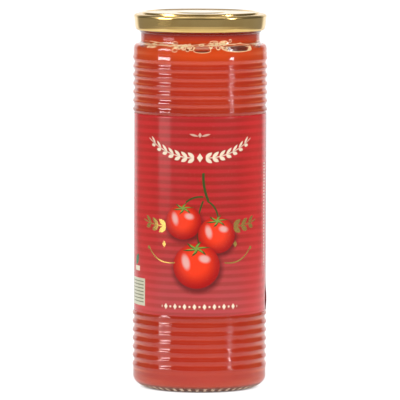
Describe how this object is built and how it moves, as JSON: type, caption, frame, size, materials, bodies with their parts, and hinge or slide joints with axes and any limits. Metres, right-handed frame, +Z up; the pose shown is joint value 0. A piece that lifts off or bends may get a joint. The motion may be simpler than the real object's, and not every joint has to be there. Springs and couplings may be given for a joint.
{
  "type": "passata jar",
  "caption": "Tall ribbed glass jar of tomato passata with a wrap-round red paper label and a gold twist-off lid.",
  "frame": {"origin": "middle of the face the jar stands on", "axes": "+Z up the jar's axis towards the lid; the label's front faces -Y, its lap is on the +X side"},
  "size_m": [0.0672, 0.0672, 0.1886],
  "materials": {
    "glass": "clear polished glass, fire-polished ribs",
    "passata": null,
    "label_paper": "satin printed paper",
    "gold_lid": "gold-lacquered tinplate, glossy"
  },
  "bodies": {
    "root": {"glass_jar": "glass", "passata": "passata", "label": "label_paper", "lid": "gold_lid"}
  },
  "joints": []
}
